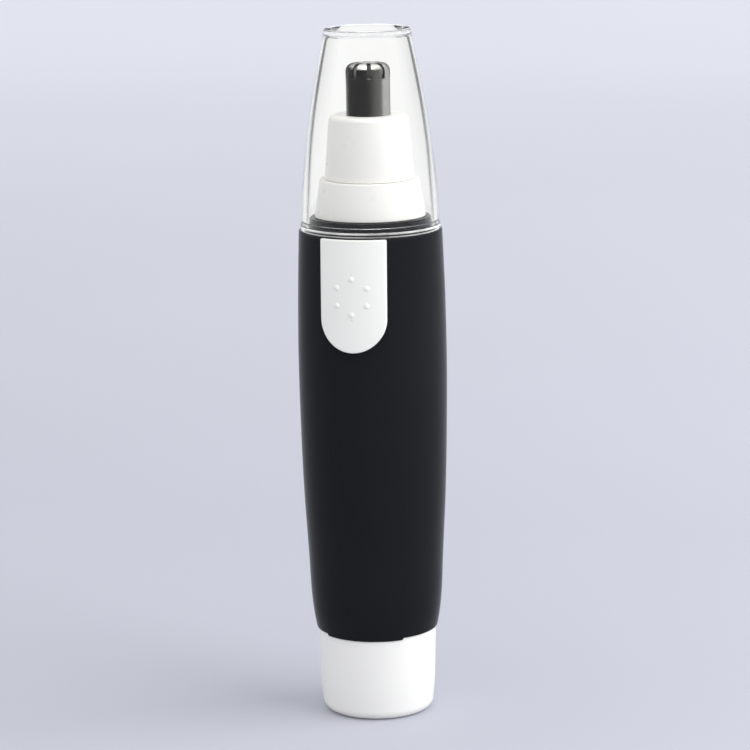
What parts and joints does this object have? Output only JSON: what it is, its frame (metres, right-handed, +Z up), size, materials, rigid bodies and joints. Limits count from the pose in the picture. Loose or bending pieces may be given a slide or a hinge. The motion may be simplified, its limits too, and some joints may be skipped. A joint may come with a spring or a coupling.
{
  "type": "nose hair trimmer",
  "caption": "Pocket rotary trimmer: slim black barrel, white thumb slider, stepped white head with slotted steel cutter, clear bullet-shaped cover and a pull-off battery cap.",
  "frame": {"origin": "centre of the flat underside of the battery cap", "axes": "+Z up the barrel axis to the cutter, -Y the side of the thumb slider, +X to the right of the slider"},
  "size_m": [0.029, 0.0298, 0.135],
  "materials": {
    "body_shell": "deep gloss black moulding",
    "head_base": "smooth warm white moulding",
    "clear_cap": "clear moulded plastic, polished",
    "switch_slider": "white satin moulding",
    "switch_bridge": "stamped strip",
    "inner_chassis": "dark grey moulding",
    "negative_strip": "stamped strip, nickel dulled",
    "motor_strip": "stamped strip",
    "positive_contact": "stamped contact",
    "battery_cap": "smooth white moulding",
    "cap_contact": "stamped contact",
    "battery_spring": "nickel plated wire",
    "cell_can": "plain steel can",
    "cell_jacket": "shrunk plastic sleeve, plain",
    "cell_seal": "insulating washer",
    "cell_nub": "nickel plated",
    "motor_can": "zinc plated drawn can",
    "motor_end_cap": "natural nylon moulding",
    "motor_terminals": "stamped tabs",
    "motor_brushes": "pressed carbon",
    "motor_bush_lower": "sintered bronze",
    "motor_bush_upper": "sintered bronze",
    "motor_magnets": "ferrite arcs",
    "motor_shaft": "ground steel",
    "armature_core": "stacked laminations",
    "armature_windings": "enamelled copper",
    "commutator": "copper bars",
    "drive_coupling": "natural acetal",
    "blade_carrier": "natural acetal",
    "blade_spring": "spring wire",
    "cutter_nozzle": "smooth warm white moulding",
    "cutter_guard": "polished steel cap",
    "inner_blade": "ground edges"
  },
  "bodies": {
    "housing": {"body_shell": "body_shell", "head_base": "head_base", "inner_chassis": "inner_chassis", "negative_strip": "negative_strip", "motor_strip": "motor_strip", "positive_contact": "positive_contact", "motor_can": "motor_can", "motor_end_cap": "motor_end_cap", "motor_terminals": "motor_terminals", "motor_brushes": "motor_brushes", "motor_bush_lower": "motor_bush_lower", "motor_bush_upper": "motor_bush_upper", "motor_magnets": "motor_magnets"},
    "cap": {"clear_cap": "clear_cap"},
    "switch": {"switch_slider": "switch_slider", "switch_bridge": "switch_bridge"},
    "battery_unit": {"battery_cap": "battery_cap", "cap_contact": "cap_contact", "battery_spring": "battery_spring", "cell_can": "cell_can", "cell_jacket": "cell_jacket", "cell_seal": "cell_seal", "cell_nub": "cell_nub"},
    "cutter_head": {"cutter_nozzle": "cutter_nozzle", "cutter_guard": "cutter_guard"},
    "rotor": {"motor_shaft": "motor_shaft", "armature_core": "armature_core", "armature_windings": "armature_windings", "commutator": "commutator", "drive_coupling": "drive_coupling", "blade_carrier": "blade_carrier", "blade_spring": "blade_spring", "inner_blade": "inner_blade"}
  },
  "joints": [
    {"name": "cap_lift", "type": "slide", "parent": "housing", "child": "cap", "axis": [0, 0, 1], "range_m": [0, 0.045]},
    {"name": "switch_slide", "type": "slide", "parent": "housing", "child": "switch", "axis": [0, 0, -1], "range_m": [0, 0.002]},
    {"name": "battery_cap_pull", "type": "slide", "parent": "housing", "child": "battery_unit", "axis": [0, 0, -1], "range_m": [0, 0.07]},
    {"name": "head_twist", "type": "hinge", "parent": "housing", "child": "cutter_head", "pos_m": [0, 0, 0.106], "axis": [0, 0, 1], "range_deg": [0, 60]},
    {"name": "rotor_spin", "type": "hinge", "parent": "housing", "child": "rotor", "pos_m": [0, 0, 0.08], "axis": [0, 0, 1], "continuous": true}
  ]
}
